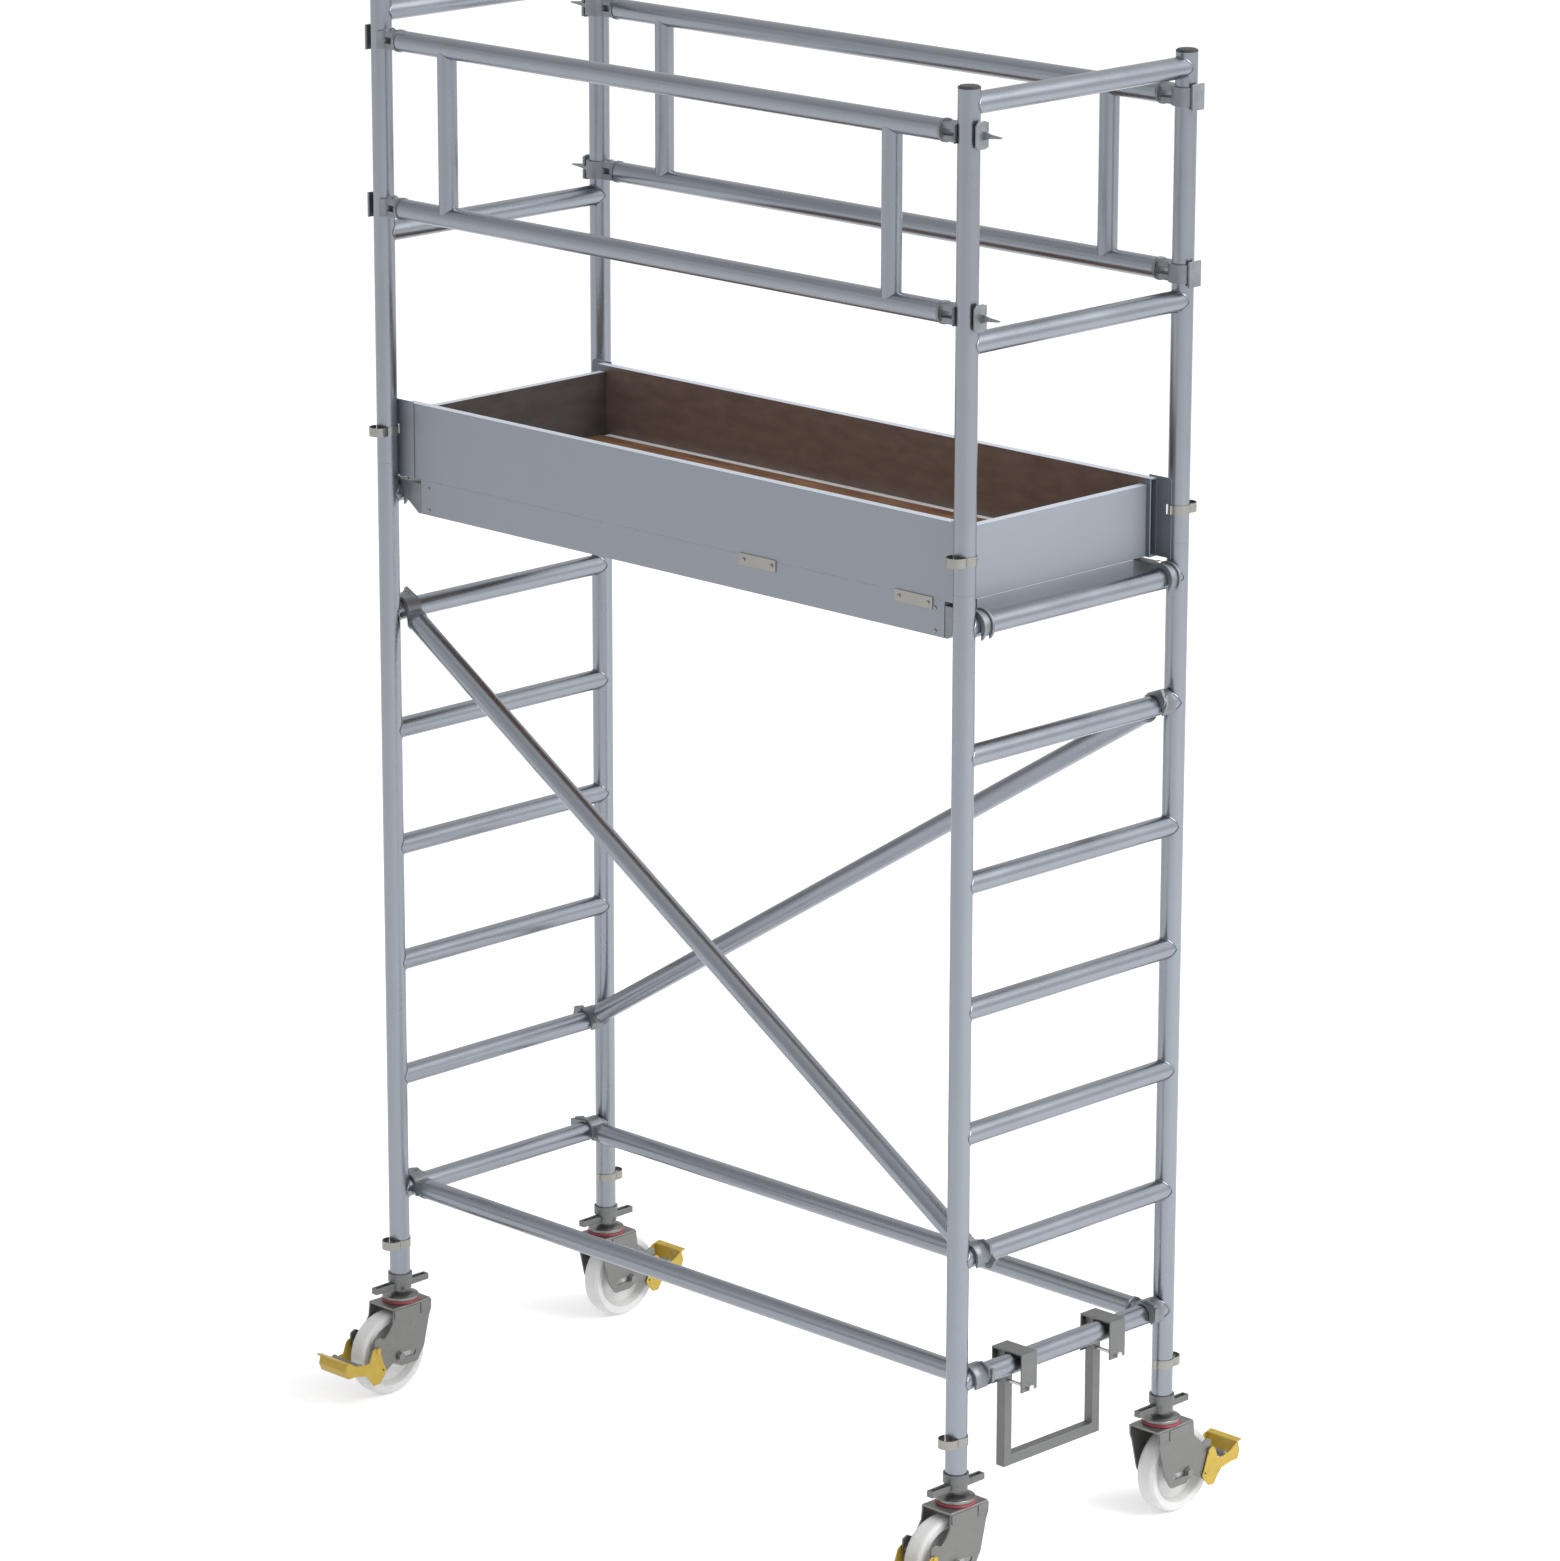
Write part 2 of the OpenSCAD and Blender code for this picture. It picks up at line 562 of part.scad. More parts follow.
module ladder_frame_left() color(aluminium) ladder_frame(-1);
module ladder_frame_right() color(aluminium) ladder_frame(1);
module guard_frame_left() color(aluminium) guard_frame(-1);
module guard_frame_right() color(aluminium) guard_frame(1);
module frame_spigots() color(aluminium) for (sx = [-1, 1], sy = [-1, 1]) at_corner(sx, sy) spigot();
module post_caps() color(black) for (sx = [-1, 1], sy = [-1, 1]) at_corner(sx, sy) post_cap();
module spring_clips() color(steel) for (sx = [-1, 1], sy = [-1, 1], z = [lower_clip_z, upper_clip_z])
  at_corner(sx, sy) translate([0, 0, z]) spring_clip(-sy);

module guardrail_front() color(aluminium) guardrail();
module guardrail_rear() color(aluminium) rotate([0, 0, 180]) guardrail();
module guardrail_claws() color(aluminium) both_turned() for (h = [rail_low, rail_high]) {
  translate([-post_x, -post_y, joint_z + h]) post_claw(false);
  translate([post_x, -post_y, joint_z + h]) mirror([1, 0, 0]) post_claw(true);
}
module latch_front_upper() color(zinc) latch_at(0, rail_high);
module latch_front_lower() color(zinc) latch_at(0, rail_low);
module latch_rear_upper() color(zinc) latch_at(180, rail_high);
module latch_rear_lower() color(zinc) latch_at(180, rail_low);

module base_tubes() color(aluminium) both_turned() base_tube();
module diagonal_braces() color(aluminium) both_turned() diagonal();
module brace_claws() color(aluminium) both_turned() front_brace_claws();

module platform_side_rails() color(aluminium) both_turned() side_rail();
module platform_cross_rails() color(aluminium) {
  cross_rail(-deck_x - 22, 50);
  cross_rail(deck_x - 28, 50);
  cross_rail(hatch_x - 22, 44);
}
module platform_claws() color(aluminium) both_turned() for (s = [0, 1]) mirror([0, s, 0])
  translate([post_x, 0, top_rung_z]) platform_claw();
module deck_board() color(ply)
  translate([-deck_x, -deck_y, deck_low_z]) cube([deck_x + hatch_x - 1.5, 2 * deck_y, deck_t]);
module hatch() color(ply)
  translate([hatch_x + 1.5, -deck_y, deck_low_z]) cube([deck_x - hatch_x - 1.5, 2 * deck_y, deck_t]);
module hatch_hinge_leaves() color(steel) for (x = hinge_xs) {
  translate([x - hinge_w / 2, -board_in_y + 1, deck_top_z + seat])
    cube([hinge_w, board_in_y - 1 + hinge_y - hinge_r - seat, 2]);
  difference() {
    for (i = [0, 2]) translate([x - hinge_w / 2 + i * 40, hinge_y, hinge_z]) {
      rotate([0, 90, 0]) cylinder(r = hinge_r, h = 30);
      translate([0, -hinge_r - 1, -hinge_r - 1 + seat]) cube([30, hinge_r + 1, hinge_r]);
    }
    translate([x - hinge_w, hinge_y, hinge_z]) rotate([0, 90, 0]) cylinder(r = 1.55, h = 2 * hinge_w);
  }
}
module hatch_hinge_straps() color(steel) for (x = hinge_xs) {
  translate([x - 24, -deck_y + 4.2, deck_top_z + seat]) cube([48, 40, 2]);
  translate([x - 24, hinge_y, hinge_z]) rotate([0, 90, 0]) cylinder(r = hinge_r, h = 48);
  translate([x - 24, hinge_y, deck_top_z + seat]) cube([48, 6, 3]);
  translate([x - hinge_w / 2, hinge_y, hinge_z]) rotate([0, 90, 0]) cylinder(r = 1.5, h = hinge_w);
}
module side_toe_boards() color(aluminium) both_turned() side_toe_board();
module end_toe_boards() color(aluminium) both_turned() end_toe_board();
module toe_board_brackets() color(aluminium) both_turned() for (s = [0, 1]) mirror([0, s, 0]) bracket();
module toe_board_clips() color(steel) for (x = hinge_xs)
  translate([x - 55, -platform_y - 2 - seat, clip_z - 13]) cube([hinge_w, 2, 26]);
module rivets() color(steel) {
  for (x = hinge_xs, s = [-1, 1]) translate([x + s * 42, -platform_y - 2 - seat - seat, clip_z])
    rotate([90, 0, 0]) rivet();
  both_turned() for (s = [-1, 1], z = [12, 62]) translate([s * claw_rivet_x, platform_y + seat, rail_bottom_z + z])
    rotate([-90, 0, 0]) rivet();
}
module step_frame() color(zinc) step_u();
module step_hooks() color(zinc) for (s = [-1, 1]) translate([0, s * step_hook_y, 0]) step_hook();
module step_bolts() color(steel) for (s = [-1, 1]) translate([0, s * step_hook_y, 0]) step_bolt();

spindle_front_left();
spindle_front_right();
spindle_rear_right();
spindle_rear_left();
wing_nut_front_left();
wing_nut_front_right();
wing_nut_rear_right();
wing_nut_rear_left();
seal_ring_front_left();
seal_ring_front_right();
seal_ring_rear_right();
seal_ring_rear_left();
fork_front_left();
fork_front_right();
fork_rear_right();
fork_rear_left();
axle_front_left();
axle_front_right();
axle_rear_right();
axle_rear_left();
wheel_front_left();
wheel_front_right();
wheel_rear_right();
wheel_rear_left();
pedal_front_left();
pedal_front_right();
pedal_rear_right();
pedal_rear_left();
ladder_frame_left();
ladder_frame_right();
guard_frame_left();
guard_frame_right();
frame_spigots();
post_caps();
spring_clips();
guardrail_front();
guardrail_rear();
guardrail_claws();
latch_front_upper();
latch_front_lower();
latch_rear_upper();
latch_rear_lower();
base_tubes();
diagonal_braces();
brace_claws();
platform_side_rails();
platform_cross_rails();
platform_claws();
deck_board();
hatch();
hatch_hinge_leaves();
hatch_hinge_straps();
side_toe_boards();
end_toe_boards();
toe_board_brackets();
toe_board_clips();
rivets();
step_frame();
step_hooks();
step_bolts();
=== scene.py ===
import json
from math import atan2, cos, pi, radians, sin, sqrt

import bmesh
import bpy
from mathutils import Matrix, Vector

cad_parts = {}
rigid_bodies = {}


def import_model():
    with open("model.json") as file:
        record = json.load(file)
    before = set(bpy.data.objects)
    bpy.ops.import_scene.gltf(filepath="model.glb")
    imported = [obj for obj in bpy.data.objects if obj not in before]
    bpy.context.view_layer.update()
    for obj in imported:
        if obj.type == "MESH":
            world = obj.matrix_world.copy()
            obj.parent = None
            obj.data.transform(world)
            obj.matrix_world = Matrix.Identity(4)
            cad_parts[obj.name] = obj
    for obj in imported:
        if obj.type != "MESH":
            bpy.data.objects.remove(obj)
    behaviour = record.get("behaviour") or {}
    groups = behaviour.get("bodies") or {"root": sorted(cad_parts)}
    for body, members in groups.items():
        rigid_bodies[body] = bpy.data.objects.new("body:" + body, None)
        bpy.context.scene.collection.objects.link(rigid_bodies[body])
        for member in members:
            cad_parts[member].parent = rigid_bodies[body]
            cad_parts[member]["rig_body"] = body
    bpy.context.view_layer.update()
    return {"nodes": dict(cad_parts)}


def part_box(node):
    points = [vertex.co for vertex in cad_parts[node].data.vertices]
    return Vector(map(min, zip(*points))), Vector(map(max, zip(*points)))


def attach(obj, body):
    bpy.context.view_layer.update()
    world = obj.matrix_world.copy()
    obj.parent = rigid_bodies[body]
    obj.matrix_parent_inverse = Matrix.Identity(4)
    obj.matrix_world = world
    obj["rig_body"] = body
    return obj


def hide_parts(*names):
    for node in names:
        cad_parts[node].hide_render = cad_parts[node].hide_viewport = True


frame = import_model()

MM = 0.001
TURN = 2 * pi
CORNERS = {"front_left": (-1, -1), "front_right": (1, -1), "rear_right": (1, 1), "rear_left": (-1, 1)}
LATCHES = ["latch_front_upper", "latch_front_lower", "latch_rear_upper", "latch_rear_lower"]

# Places taken from the CAD nodes, in metres
ladder_low, ladder_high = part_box("ladder_frame_right")
guard_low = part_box("guard_frame_right")[0]
fork_low, fork_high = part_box("fork_rear_right")
spindle_low, spindle_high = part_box("spindle_rear_right")
brace_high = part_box("brace_claws")[1]
hook_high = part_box("platform_claws")[1]
end_board_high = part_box("end_toe_boards")[1]
clip_low, clip_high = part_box("spring_clips")

POST_R = (ladder_high.x - ladder_low.x) / 2
POST_X = ladder_high.x - POST_R
POST_Y = ladder_high.y - POST_R
RUNG_R = POST_R - 0.5 * MM
FRAME_JOINT_Z = guard_low.z
FORK_TOP = fork_high.z

# Sizes of the CAD source that no box gives
AXLE_Z = 100 * MM
FIRST_RUNG_Z, RUNG_PITCH, RUNG_COUNT = 494 * MM, 280 * MM, 7
GUARD_RUNGS_ABOVE_JOINT = (530 * MM, 1031 * MM)
RUNG_HEIGHTS = [FIRST_RUNG_Z + RUNG_PITCH * step for step in range(RUNG_COUNT)]
GUARD_RUNG_HEIGHTS = [FRAME_JOINT_Z + above for above in GUARD_RUNGS_ABOVE_JOINT]


# ---------- materials ----------

LOOKS_UP = 0.7  # a face counts as a top above this upward share of its normal
GROUND_METALLIC, GROUND_LINES = 0.75, 0.03 * MM


class Finish:
    """A procedural material, built one node at a time."""

    def __init__(self, name):
        self.material = bpy.data.materials.new(name)
        self.material.use_nodes = True
        self.tree = self.material.node_tree
        self.shader = self.tree.nodes["Principled BSDF"]
        coordinates = self.tree.nodes.new("ShaderNodeTexCoord")
        self.place = coordinates.outputs["Object"]
        self.facing = coordinates.outputs["Normal"]

    def wire(self, socket, value):
        if isinstance(value, bpy.types.NodeSocket):
            self.tree.links.new(value, socket)
        else:
            socket.default_value = value

    def math(self, operation, a, b=0.0):
        node = self.tree.nodes.new("ShaderNodeMath")
        node.operation = operation
        self.wire(node.inputs[0], a)
        self.wire(node.inputs[1], b)
        return node.outputs[0]

    def vector(self, operation, a, b):
        node = self.tree.nodes.new("ShaderNodeVectorMath")
        node.operation = operation
        self.wire(node.inputs[0], a)
        self.wire(node.inputs[1], b)
        return node.outputs[1 if operation == "DOT_PRODUCT" else 0]

    def noise(self, scale, stretch=(1, 1, 1), detail=3.0, coarse=0.5, vector=None):
        node = self.tree.nodes.new("ShaderNodeTexNoise")
        spread = self.vector("MULTIPLY", vector or self.place, stretch)
        self.wire(node.inputs["Vector"], spread)
        node.inputs["Scale"].default_value = scale
        node.inputs["Detail"].default_value = detail
        node.inputs["Roughness"].default_value = coarse
        return node.outputs[0]

    def cells(self, scale):
        node = self.tree.nodes.new("ShaderNodeTexVoronoi")
        self.wire(node.inputs["Vector"], self.place)
        node.inputs["Scale"].default_value = scale
        return node.outputs["Color"]

    def waves(self, scale, distortion, vector):
        node = self.tree.nodes.new("ShaderNodeTexWave")
        self.wire(node.inputs["Vector"], vector)
        node.inputs["Scale"].default_value = scale
        node.inputs["Distortion"].default_value = distortion
        node.inputs["Detail"].default_value = 3.0
        return node.outputs["Fac"]

    def spread(self, value, low, high, to_low, to_high):
        node = self.tree.nodes.new("ShaderNodeMapRange")
        for socket, number in zip(node.inputs, (value, low, high, to_low, to_high)):
            self.wire(socket, number)
        return node.outputs[0]

    def mix(self, factor, a, b):
        node = self.tree.nodes.new("ShaderNodeMix")
        node.data_type = "RGBA"
        self.wire(node.inputs["Factor"], factor)
        self.wire(node.inputs["A"], (*a, 1) if isinstance(a, tuple) else a)
        self.wire(node.inputs["B"], (*b, 1) if isinstance(b, tuple) else b)
        return node.outputs["Result"]

    def bump(self, height, depth, under=None):
        node = self.tree.nodes.new("ShaderNodeBump")
        node.inputs["Strength"].default_value = 1.0
        node.inputs["Distance"].default_value = depth
        self.wire(node.inputs["Height"], height)
        if under:
            self.wire(node.inputs["Normal"], under)
        return node.outputs[0]

    def shade(self, **sockets):
        for name, value in sockets.items():
            self.wire(self.shader.inputs[name.replace("_", " ").title()], value)
        return self.material


def grey(colour, factor):
    return tuple(channel * factor for channel in colour)


def drawn_tube(name, colour, roughness):
    """Extruded tube: fine lines along it on every side, faint stains and handling marks."""
    finish = Finish(name)
    around = finish.vector("ADD", finish.vector("MULTIPLY", finish.facing, (26, 26, 26)),
                           finish.vector("MULTIPLY", finish.place, (2.2, 2.2, 2.2)))
    lines = finish.noise(1.0, vector=around, detail=4.0, coarse=0.7)
    stains = finish.noise(5.0, detail=5.0, coarse=0.6)
    marks = finish.noise(38.0, stretch=(1, 1, 0.35), detail=6.0, coarse=0.7)
    scuffs = finish.spread(marks, 0.60, 0.78, 0.0, 1.0)
    tone = finish.mix(finish.spread(stains, 0.3, 0.7, 0.0, 1.0), grey(colour, 0.95), grey(colour, 1.04))
    tone = finish.mix(finish.math("MULTIPLY", lines, 0.25), tone, grey(colour, 0.80))
    tone = finish.mix(finish.math("MULTIPLY", scuffs, 0.10), tone, grey(colour, 0.75))
    dull = finish.math("ADD", finish.spread(stains, 0.3, 0.7, roughness - 0.03, roughness + 0.05),
                       finish.math("MULTIPLY", scuffs, 0.02))
    return finish.shade(base_color=tone, metallic=1.0, roughness=dull,
                        normal=finish.bump(lines, 0.012 * MM))


def cast_metal(name, colour, roughness, grain, depth):
    """Cast or blasted metal: fine pitted skin with soft uneven tone."""
    finish = Finish(name)
    pits = finish.noise(grain, detail=4.0, coarse=0.65)
    cloud = finish.noise(30.0, detail=4.0)
    tone = finish.mix(finish.spread(cloud, 0.35, 0.65, 0.0, 1.0), grey(colour, 0.86), grey(colour, 1.08))
    tone = finish.mix(finish.spread(pits, 0.35, 0.55, 0.35, 0.0), tone, grey(colour, 0.55))
    dull = finish.spread(cloud, 0.3, 0.7, roughness - 0.06, roughness + 0.08)
    return finish.shade(base_color=tone, metallic=0.9, roughness=dull, normal=finish.bump(pits, depth))


def galvanised(name, colour, roughness, spangle):
    """Zinc coat: crystal patches of slightly different grey, and a few white stains."""
    finish = Finish(name)
    patches = finish.vector("DOT_PRODUCT", finish.cells(spangle), (0.33, 0.33, 0.33))
    cloud = finish.noise(22.0, detail=5.0, coarse=0.6)
    tone = finish.mix(patches, grey(colour, 0.91), grey(colour, 1.09))
    tone = finish.mix(finish.spread(cloud, 0.58, 0.76, 0.0, 0.16), tone, grey(colour, 1.8))
    dull = finish.spread(patches, 0.0, 1.0, roughness - 0.05, roughness + 0.07)
    skin = finish.bump(finish.noise(420.0, detail=2.0), 0.04 * MM)
    return finish.shade(base_color=tone, metallic=0.85, roughness=dull,
                        normal=finish.bump(patches, 0.03 * MM, skin))


def coated_steel(name, colour, chip, roughness):
    """Powder coat: orange-peel skin, rubbed patches and small chips down to the steel."""
    finish = Finish(name)
    peel = finish.noise(520.0, detail=2.0)
    rubbed = finish.noise(45.0, detail=5.0, coarse=0.6)
    chips = finish.spread(finish.noise(170.0, detail=6.0, coarse=0.75), 0.70, 0.73, 0.0, 1.0)
    tone = finish.mix(finish.spread(rubbed, 0.35, 0.65, 0.0, 1.0), grey(colour, 0.90), grey(colour, 1.06))
    tone = finish.mix(chips, tone, chip)
    dull = finish.spread(rubbed, 0.3, 0.7, roughness - 0.06, roughness + 0.10)
    return finish.shade(base_color=tone, metallic=finish.math("MULTIPLY", chips, 0.8), roughness=dull,
                        normal=finish.bump(chips, -0.10 * MM, finish.bump(peel, 0.05 * MM)))


def moulded(name, colour, roughness, grain, depth):
    """Moulded plastic or rubber: fine mould texture, slightly uneven gloss and grime."""
    finish = Finish(name)
    texture = finish.noise(grain, detail=3.0)
    grime = finish.noise(26.0, detail=6.0, coarse=0.65)
    tone = finish.mix(finish.spread(grime, 0.50, 0.75, 0.0, 0.45), colour, grey(colour, 0.72))
    dull = finish.spread(grime, 0.3, 0.7, roughness - 0.05, roughness + 0.12)
    return finish.shade(base_color=tone, roughness=dull, normal=finish.bump(texture, depth))


def polished_sheet(name, colour, roughness):
    """Ground or plated metal with fine lines: stainless sheet, zinc plate and bolts."""
    finish = Finish(name)
    lines = finish.noise(60.0, stretch=(1, 1, 40), detail=3.0, coarse=0.7)
    cloud = finish.noise(40.0, detail=4.0)
    tone = finish.mix(lines, grey(colour, 0.90), grey(colour, 1.08))
    dull = finish.math("ADD", finish.spread(cloud, 0.3, 0.7, roughness - 0.06, roughness + 0.06),
                       finish.math("MULTIPLY", lines, 0.06))
    return finish.shade(base_color=tone, metallic=1.0, roughness=dull, normal=finish.bump(lines, 0.02 * MM))


def ground_skin(finish, colour):
    """Tone, roughness and fine lines of matt ground aluminium."""
    lines = finish.noise(9.0, stretch=(0.6, 0.6, 60), detail=4.0, coarse=0.7)
    cloud = finish.noise(3.0, detail=5.0, coarse=0.55)
    tone = finish.mix(finish.spread(cloud, 0.3, 0.7, 0.0, 1.0), grey(colour, 0.95), grey(colour, 1.04))
    tone = finish.mix(finish.math("MULTIPLY", lines, 0.18), tone, grey(colour, 0.82))
    return tone, finish.spread(cloud, 0.3, 0.7, 0.50, 0.60), lines


def rolled_profile(name, colour, pale):
    """Extruded rail: matt ground skin, with a painted highlight on the faces that look up, pale and not
    metallic there.
    """
    finish = Finish(name)
    bare, dull, lines = ground_skin(finish, colour)
    # Painted highlight: faces that look up take the pale colour in place of the ground skin.
    top = finish.math("GREATER_THAN", finish.vector("DOT_PRODUCT", finish.facing, (0, 0, 1)), LOOKS_UP)
    return finish.shade(base_color=finish.mix(top, bare, pale), roughness=dull,
                        metallic=finish.spread(top, 0.0, 1.0, GROUND_METALLIC, 0.0),
                        normal=finish.bump(lines, GROUND_LINES))


def toe_board_sheet(name, outside, inside, end, shaded):
    """Toe boards: bare aluminium outside and on the edges, with a painted highlight on the faces that look
    up; brown film on the side boards' faces to the deck, painted darker and greyer as painted shade on the
    end boards, and painted blue-grey shade beyond them."""
    finish = Finish(name)
    flat_facing = finish.vector("MULTIPLY", finish.facing, (1, 1, 0))
    towards_deck = finish.vector("DOT_PRODUCT", finish.place, flat_facing)
    # Faces to the deck: film between the end boards, painted shade beyond them.
    film = finish.math("LESS_THAN", towards_deck, -0.15)
    across = finish.math("ABSOLUTE", finish.vector("DOT_PRODUCT", finish.place, (1, 0, 0)))
    beyond = finish.math("GREATER_THAN", across, end_board_high.x - 16 * MM)
    smears = finish.noise(14.0, stretch=(1, 1, 3), detail=5.0, coarse=0.6)
    bare, dull, lines = ground_skin(finish, outside)
    brown = finish.mix(finish.spread(smears, 0.35, 0.7, 0.0, 1.0), grey(inside, 0.88), grey(inside, 1.18))
    # Painted shade: the film on faces that look across, the end boards' inner faces, is painted darker and
    # greyer than the side boards' brown.
    crosswise = finish.math("ABSOLUTE", finish.vector("DOT_PRODUCT", finish.facing, (1, 0, 0)))
    end_film_painted_shade = finish.mix(finish.spread(smears, 0.35, 0.7, 0.0, 1.0), grey(end, 0.90), grey(end, 1.15))
    film_and_painted_shade = finish.mix(finish.math("GREATER_THAN", crosswise, 0.5), brown, end_film_painted_shade)
    # Painted shade: beyond the end boards these faces take a flat blue-grey shade colour instead of film.
    film_and_painted_shade = finish.mix(beyond, film_and_painted_shade, shaded)
    dull = finish.mix(film, dull, finish.spread(smears, 0.3, 0.7, 0.30, 0.46))
    # Painted highlight: faces that look up are painted more than twice as light as the bare sides.
    top = finish.math("GREATER_THAN", finish.vector("DOT_PRODUCT", finish.facing, (0, 0, 1)), LOOKS_UP)
    bare = finish.mix(top, bare, grey(outside, 2.2))
    return finish.shade(base_color=finish.mix(film, bare, film_and_painted_shade), roughness=dull,
                        metallic=finish.spread(film, 0.0, 1.0, GROUND_METALLIC, 0.0),
                        normal=finish.bump(lines, GROUND_LINES))


def plywood(name, light, dark):
    """Film-faced plywood: brown face with long grain, open pores, scuffs and pale layered edges."""
    finish = Finish(name)
    bent = finish.vector("ADD", finish.vector("MULTIPLY", finish.place, (2.2, 16, 1)),
                         finish.vector("MULTIPLY", finish.cells(2.2), (0.0, 0.0, 0.35)))
    grain = finish.noise(2.4, vector=bent, detail=6.0, coarse=0.62)
    pores = finish.noise(60.0, stretch=(0.35, 9, 1), detail=3.0, coarse=0.7)
    wear = finish.noise(7.0, detail=6.0, coarse=0.65)
    tone = finish.mix(finish.spread(grain, 0.36, 0.66, 0.0, 1.0), dark, light)
    tone = finish.mix(finish.spread(pores, 0.58, 0.74, 0.0, 0.55), tone, grey(dark, 0.55))
    tone = finish.mix(finish.spread(wear, 0.56, 0.72, 0.0, 0.35), tone, (0.34, 0.24, 0.16))
    upright = finish.math("ABSOLUTE", finish.vector("DOT_PRODUCT", finish.facing, (0, 0, 1)))
    edge = finish.math("LESS_THAN", upright, 0.5)
    plies = finish.waves(105.0, 0.4, finish.vector("MULTIPLY", finish.place, (0, 0, 1)))
    tone = finish.mix(edge, tone, finish.mix(plies, (0.30, 0.19, 0.11), (0.50, 0.36, 0.22)))
    dull = finish.spread(wear, 0.3, 0.7, 0.36, 0.55)
    return finish.shade(base_color=tone, roughness=dull,
                        normal=finish.bump(pores, -0.15 * MM, finish.bump(grain, 0.20 * MM)))


ALUMINIUM = (0.275, 0.298, 0.332)
SHEET = (0.285, 0.308, 0.342)
LOOKS = {
    "aluminium_tube": drawn_tube("look_aluminium_tube", ALUMINIUM, 0.28),
    # The pale colour given to the rail is a painted highlight on its faces that look up.
    "aluminium_profile": rolled_profile("look_aluminium_profile", SHEET, (0.86, 0.86, 0.87)),
    "cast_aluminium": cast_metal("look_cast_aluminium", (0.25, 0.27, 0.29), 0.50, 700.0, 0.12 * MM),
    "cast_zinc": cast_metal("look_cast_zinc", (0.20, 0.205, 0.205), 0.50, 480.0, 0.20 * MM),
    "zinc_plated_steel": polished_sheet("look_zinc_plated_steel", (0.24, 0.24, 0.235), 0.36),
    "fork_steel": galvanised("look_fork_steel", (0.205, 0.205, 0.200), 0.46, 210.0),
    "galvanised_steel": galvanised("look_galvanised_steel", (0.185, 0.19, 0.19), 0.50, 130.0),
    "bright_bolt": polished_sheet("look_bright_bolt", (0.66, 0.66, 0.65), 0.28),
    "stainless_steel": polished_sheet("look_stainless_steel", (0.31, 0.302, 0.280), 0.30),
    "white_polyamide": moulded("look_white_polyamide", (0.61, 0.61, 0.605), 0.36, 260.0, 0.06 * MM),
    "red_seal": moulded("look_red_seal", (0.28, 0.040, 0.052), 0.46, 600.0, 0.05 * MM),
    "black_plastic": moulded("look_black_plastic", (0.020, 0.022, 0.024), 0.48, 900.0, 0.08 * MM),
    "yellow_steel": coated_steel("look_yellow_steel", (0.44, 0.300, 0.030), (0.28, 0.27, 0.25), 0.36),
    # The toe board's last two colours are painted shade: dark grey for the end boards' film, blue-grey
    # beyond the end boards.
    "toe_board_aluminium": toe_board_sheet("look_toe_board", SHEET, (0.158, 0.112, 0.093),
                                           (0.058, 0.050, 0.049), (0.105, 0.118, 0.142)),
    "plywood": plywood("look_plywood", (0.345, 0.175, 0.092), (0.170, 0.082, 0.044)),
}
for node in frame["nodes"].values():
    for index, old in enumerate(node.data.materials):
        node.data.materials[index] = LOOKS[old.name]


# ---------- making pieces ----------

SMOOTH_ANGLE, SHARP_ANGLE, FLAT_ANGLE = radians(38), radians(35), radians(0.5)
SAME_POINT = 0.001 * MM
WIDE_SEGMENTS = 5
POLE_R = 0.01 * MM  # a turned form stops this far from its axis, so that its caps are real faces


def add_piece(name, mesh, slot, body):
    """Shows a mesh in the finish of a material slot, riding on a body."""
    mesh.materials.clear()
    mesh.materials.append(LOOKS[slot])
    mesh.shade_smooth()
    mesh.set_sharp_from_angle(angle=SMOOTH_ANGLE)
    piece = bpy.data.objects.new(name, mesh)
    bpy.context.scene.collection.objects.link(piece)
    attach(piece, body)
    return piece


class Shape:
    """Collects vertices and faces of closed forms, each placed by a matrix."""

    def __init__(self):
        self.points, self.faces = [], []

    def grid(self, rings, place=Matrix(), closed=False):
        """Skin over rings of points; the first and last ring are capped unless the row is closed."""
        start, around = len(self.points), len(rings[0])
        self.points += [place @ Vector(point) for ring in rings for point in ring]
        for row in range(len(rings) if closed else len(rings) - 1):
            after = (row + 1) % len(rings)
            for column in range(around):
                beside = (column + 1) % around
                self.faces.append([start + row * around + column, start + row * around + beside,
                                   start + after * around + beside, start + after * around + column])
        if not closed:
            last = start + (len(rings) - 1) * around
            self.faces.append([start + column for column in reversed(range(around))])
            self.faces.append([last + column for column in range(around)])

    def lathe(self, profile, place=Matrix(), around=64):
        """Solid of revolution about Z from (radius, height) pairs, lowest first."""
        rings = []
        for r, z in profile:
            out = max(r, POLE_R)
            rings.append([(out * cos(TURN * k / around), out * sin(TURN * k / around), z)
                          for k in range(around)])
        self.grid(rings, place)

    def mesh(self, name):
        mesh = bpy.data.meshes.new(name)
        mesh.from_pydata(self.points, [], self.faces)
        work = bmesh.new()
        work.from_mesh(mesh)
        bmesh.ops.recalc_face_normals(work, faces=work.faces)
        work.to_mesh(mesh)
        work.free()
        return mesh


